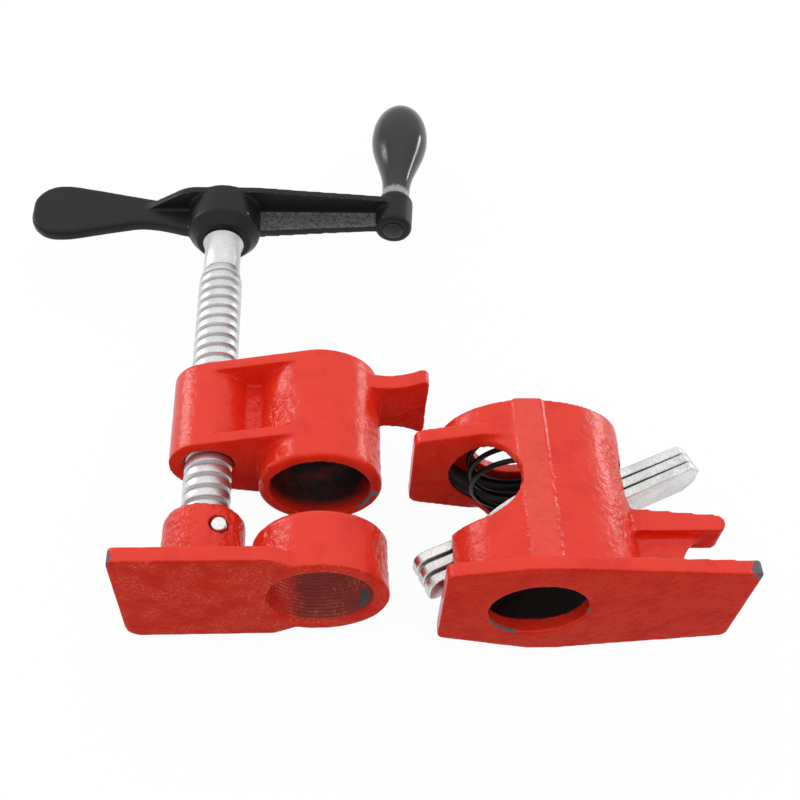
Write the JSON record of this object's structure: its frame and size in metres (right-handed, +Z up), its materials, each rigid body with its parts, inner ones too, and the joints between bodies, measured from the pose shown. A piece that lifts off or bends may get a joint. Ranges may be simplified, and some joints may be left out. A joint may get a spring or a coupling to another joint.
{
  "type": "woodworking pipe clamp",
  "caption": "Pipe clamp for gluing up boards: a head with screw, crank and sliding jaw, and a tail jaw that grips the pipe with sprung clutch plates.",
  "frame": {"origin": "centre of the pipe socket's mouth on the fixed head", "axes": "+X right in the picture, from the screw to the tail jaw; +Y along the pipe and screw, from the jaws to the crank; +Z up, the clamp lying on its side"},
  "size_m": [0.2163, 0.2098, 0.0491],
  "materials": {
    "red_enamel": "gloss",
    "black_enamel": "gloss",
    "zinc_plate": "satin",
    "plate_steel": "satin",
    "spring_steel": "satin"
  },
  "bodies": {
    "head": {"fixed_head": "red_enamel"},
    "jaw": {"moving_jaw": "red_enamel", "jaw_retaining_pin": "zinc_plate"},
    "screw": {"spindle": "zinc_plate", "crank_handle": "black_enamel", "knob_rivet": "zinc_plate"},
    "knob": {"crank_knob": "black_enamel"},
    "tail": {"tail_jaw": "red_enamel", "clutch_spring": "spring_steel"},
    "clutch_1": {"clutch_plate_1": "plate_steel"},
    "clutch_2": {"clutch_plate_2": "plate_steel"},
    "clutch_3": {"clutch_plate_3": "plate_steel"}
  },
  "joints": [
    {"name": "jaw_travel", "type": "slide", "parent": "head", "child": "jaw", "axis": [0, -1, 0], "range_m": [-0.017, 0.046]},
    {"name": "screw_turn", "type": "hinge", "parent": "jaw", "child": "screw", "pos_m": [-0.033, 0, 0], "axis": [0, -1, 0], "range_deg": [-1530, 4140]},
    {"name": "knob_spin", "type": "hinge", "parent": "screw", "child": "knob", "pos_m": [0.0265, 0.1163, 0], "axis": [0.0906, 0.9959, 0], "continuous": true},
    {"name": "tail_slide", "type": "slide", "parent": "head", "child": "tail", "axis": [0, -1, 0], "range_m": [0, 0.15]},
    {"name": "clutch_tilt_1", "type": "hinge", "parent": "tail", "child": "clutch_1", "pos_m": [0.0868, -0.0094, 0.0023], "axis": [0, 0, -1], "range_deg": [0, 24.6], "stiffness_Nm_per_rad": 0.3, "springref_deg": -28.65, "deforming": ["clutch_spring"]},
    {"name": "clutch_tilt_2", "type": "hinge", "parent": "tail", "child": "clutch_2", "pos_m": [0.0868, -0.0094, 0.0023], "axis": [0, 0, -1], "range_deg": [0, 24.1]},
    {"name": "clutch_tilt_3", "type": "hinge", "parent": "tail", "child": "clutch_3", "pos_m": [0.0868, -0.0094, 0.0023], "axis": [0, 0, -1], "range_deg": [0, 23.6]}
  ],
  "couplings": [
    {"joint": "jaw_travel", "follows": "screw_turn", "m_per_rad": 0.00063662},
    {"joint": "clutch_tilt_2", "follows": "clutch_tilt_1", "ratio": 0.97967},
    {"joint": "clutch_tilt_3", "follows": "clutch_tilt_1", "ratio": 0.95935}
  ]
}
